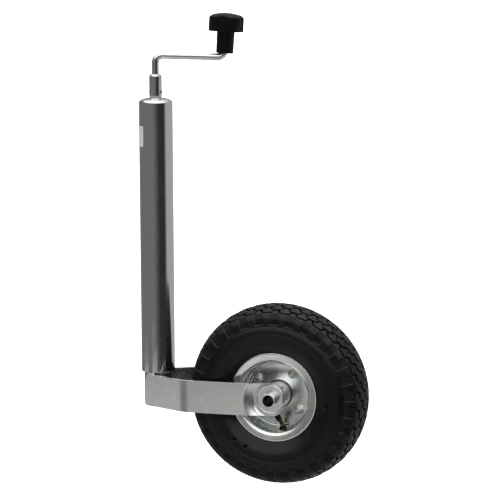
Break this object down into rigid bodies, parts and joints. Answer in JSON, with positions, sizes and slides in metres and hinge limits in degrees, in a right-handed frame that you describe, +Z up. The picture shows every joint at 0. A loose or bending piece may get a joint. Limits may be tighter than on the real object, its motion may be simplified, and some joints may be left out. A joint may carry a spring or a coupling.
{
  "type": "trailer jack wheel",
  "caption": "Trailer jack wheel: crank-driven telescopic tube for a round clamp, with a trailing two-arm fork and an air-filled wheel.",
  "frame": {"origin": "on the outer tube's axis, halfway along its straight clamping length", "axes": "+Z up along the outer tube towards the crank; +X the way the wheel trails; the wheel's axle lies along Y"},
  "size_m": [0.3346, 0.11, 0.6602],
  "materials": {
    "tube_chrome": "bright zinc-chrome plate, polished",
    "zinc_arm": "satin zinc plate",
    "zinc_rim": "zinc plate with a faint yellow-green passivate",
    "zinc_bright": "bright zinc plate",
    "zinc_fastener": "zinc plate",
    "steel_inner": "greased steel",
    "spring_steel": "dark phosphated spring steel",
    "bearing_steel": "ground bearing steel",
    "bronze": "oil-filled bronze",
    "nylon": "natural nylon",
    "black_plastic": "satin moulded black",
    "tyre_rubber": "moulded tyre rubber",
    "tube_rubber": "butyl rubber",
    "valve_brass": "dull brass",
    "valve_black": "moulded black"
  },
  "bodies": {
    "clamped_tube": {"outer_tube": "tube_chrome", "top_plate": "steel_inner", "top_bush": "nylon", "top_washer": "nylon", "race_upper": "bearing_steel", "guide_bush": "nylon"},
    "crank": {"race_lower": "bearing_steel", "thrust_cage": "bronze", "thrust_balls": "bearing_steel", "spindle": "steel_inner", "crank_sleeve": "zinc_bright", "roll_pin": "spring_steel", "crank_rod": "zinc_bright", "knob_clip": "spring_steel"},
    "crank_knob": {"knob": "black_plastic"},
    "lift": {"drive_nut": "bronze"},
    "fork": {"inner_tube": "steel_inner", "arm_near": "zinc_arm", "arm_far": "zinc_arm", "fork_welds": "zinc_arm", "axle_tube": "zinc_fastener", "arm_spacers": "zinc_fastener", "bearing_inner": "bearing_steel", "distance_tube": "zinc_fastener"},
    "wheel": {"bearing_outer": "bearing_steel", "bearing_balls": "bearing_steel", "bearing_cages": "bronze", "bearing_shields": "bearing_steel", "hub_tube": "zinc_rim", "hub_flange": "spring_steel", "rim_near": "zinc_rim", "rim_far": "zinc_rim", "rim_bolts": "zinc_fastener", "rim_nuts": "zinc_fastener", "tyre": "tyre_rubber", "air_tube": "tube_rubber", "valve_stem": "valve_brass", "valve_collar": "valve_black", "valve_cap": "valve_black"}
  },
  "joints": [
    {"name": "crank_turn", "type": "hinge", "parent": "clamped_tube", "child": "crank", "pos_m": [0, 0, 0.2], "axis": [0, 0, 1], "range_deg": [0, 18000]},
    {"name": "tube_extend", "type": "slide", "parent": "clamped_tube", "child": "lift", "axis": [0, 0, -1], "range_m": [0, 0.2]},
    {"name": "fork_swivel", "type": "hinge", "parent": "lift", "child": "fork", "pos_m": [0, 0, -0.2], "axis": [0, 0, 1], "continuous": true},
    {"name": "wheel_spin", "type": "hinge", "parent": "fork", "child": "wheel", "pos_m": [0.182, 0, -0.2144], "axis": [0, 1, 0], "continuous": true},
    {"name": "knob_spin", "type": "hinge", "parent": "crank", "child": "crank_knob", "pos_m": [0.09301, 0.03022, 0.26502], "axis": [0.0581, 0.0189, 0.9981], "continuous": true}
  ],
  "couplings": [
    {"joint": "tube_extend", "follows": "crank_turn", "m_per_rad": 0.00063662}
  ]
}
